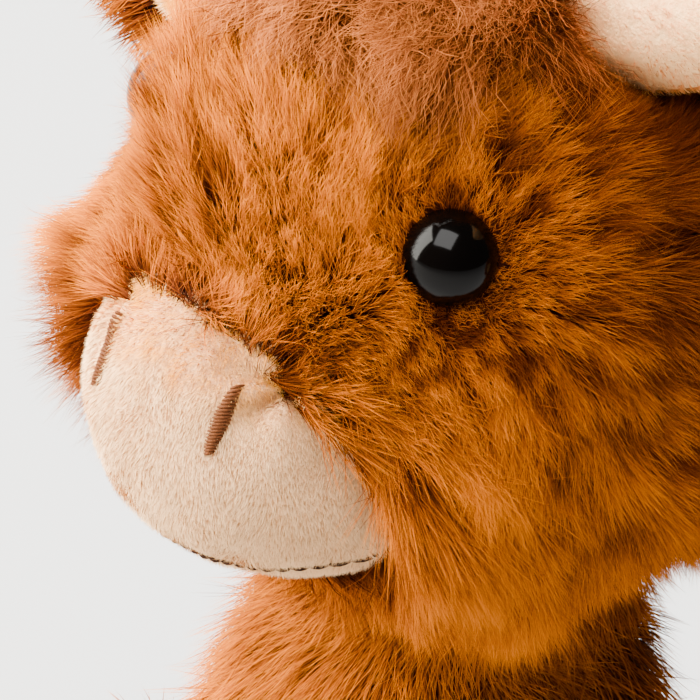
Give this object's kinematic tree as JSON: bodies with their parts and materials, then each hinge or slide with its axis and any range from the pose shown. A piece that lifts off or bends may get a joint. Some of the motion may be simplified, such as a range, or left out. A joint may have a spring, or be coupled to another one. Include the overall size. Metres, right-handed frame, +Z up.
{
  "type": "plush cow",
  "caption": "Seated plush highland cow with shaggy fur, a short-pile muzzle, curved soft horns, leaf ears and sewn legs that swing",
  "frame": {"origin": "on the floor, in the flat seat panel, in line with the head's middle", "axes": "+Z up, -Y is the way the cow looks, +X is the cow's left side"},
  "size_m": [0.1704, 0.1892, 0.2373],
  "materials": {
    "fur": "long shaggy pile",
    "short_plush": "short velour pile",
    "lining": "short velour pile",
    "forelock_fur": "frizzy curled pile",
    "hoof_plush": "short velour pile",
    "filling": "loose polyester fibre",
    "pellets": "cloth pouch of pellets",
    "thread": "satin embroidery thread",
    "eye_plastic": "polished",
    "washer_plastic": "moulded"
  },
  "bodies": {
    "body": {"body_cover": "fur", "body_filling": "filling", "seat_panel": "short_plush", "pellet_pouch": "pellets"},
    "neck": {"neck_thread": "thread"},
    "head": {"head_cover": "fur", "head_filling": "filling", "muzzle_cover": "short_plush", "forelock": "forelock_fur", "mouth_stitch": "thread", "nostril_left": "thread", "nostril_right": "thread", "eye_left": "eye_plastic", "eye_right": "eye_plastic", "eye_washer_left": "washer_plastic", "eye_washer_right": "washer_plastic", "horn_left": "short_plush", "horn_right": "short_plush", "horn_filling_left": "filling", "horn_filling_right": "filling"},
    "tail": {"tail": "fur", "tail_tuft": "forelock_fur"},
    "ear_left": {"ear_left": "fur", "ear_lining_left": "lining"},
    "front_leg_left": {"front_leg_left": "fur", "front_leg_left_hoof": "hoof_plush", "front_leg_left_filling": "filling"},
    "hind_leg_left": {"hind_leg_left": "fur", "hind_leg_left_hoof": "hoof_plush", "hind_leg_left_filling": "filling"},
    "ear_right": {"ear_right": "fur", "ear_lining_right": "lining"},
    "front_leg_right": {"front_leg_right": "fur", "front_leg_right_hoof": "hoof_plush", "front_leg_right_filling": "filling"},
    "hind_leg_right": {"hind_leg_right": "fur", "hind_leg_right_hoof": "hoof_plush", "hind_leg_right_filling": "filling"}
  },
  "joints": [
    {"name": "head_turn", "type": "hinge", "parent": "body", "child": "neck", "pos_m": [0, 0.008, 0.104], "axis": [0, 0, 1], "range_deg": [-30, 30]},
    {"name": "head_nod", "type": "hinge", "parent": "neck", "child": "head", "pos_m": [0, 0.008, 0.104], "axis": [1, 0, 0], "range_deg": [-10, 12]},
    {"name": "tail_wag", "type": "hinge", "parent": "body", "child": "tail", "pos_m": [0, 0.048, 0.03], "axis": [0, 0, 1], "range_deg": [-25, 25]},
    {"name": "ear_left_flap", "type": "hinge", "parent": "head", "child": "ear_left", "pos_m": [0.0402, 0.0165, 0.17], "axis": [0, -1, 0], "range_deg": [-18, 18]},
    {"name": "front_leg_left_lift", "type": "hinge", "parent": "body", "child": "front_leg_left", "pos_m": [0.01684, -0.01756, 0.07831], "axis": [-0.848, -0.5299, 0], "range_deg": [0, 30]},
    {"name": "hind_leg_left_lift", "type": "hinge", "parent": "body", "child": "hind_leg_left", "pos_m": [0.0375, -0.004, 0.0193], "axis": [-1, 0, 0], "range_deg": [0, 22]},
    {"name": "ear_right_flap", "type": "hinge", "parent": "head", "child": "ear_right", "pos_m": [-0.0402, 0.0165, 0.17], "axis": [0, 1, 0], "range_deg": [-18, 18]},
    {"name": "front_leg_right_lift", "type": "hinge", "parent": "body", "child": "front_leg_right", "pos_m": [-0.01684, -0.01756, 0.07831], "axis": [-0.848, 0.5299, 0], "range_deg": [0, 30]},
    {"name": "hind_leg_right_lift", "type": "hinge", "parent": "body", "child": "hind_leg_right", "pos_m": [-0.0375, -0.004, 0.0193], "axis": [-1, 0, 0], "range_deg": [0, 22]}
  ]
}
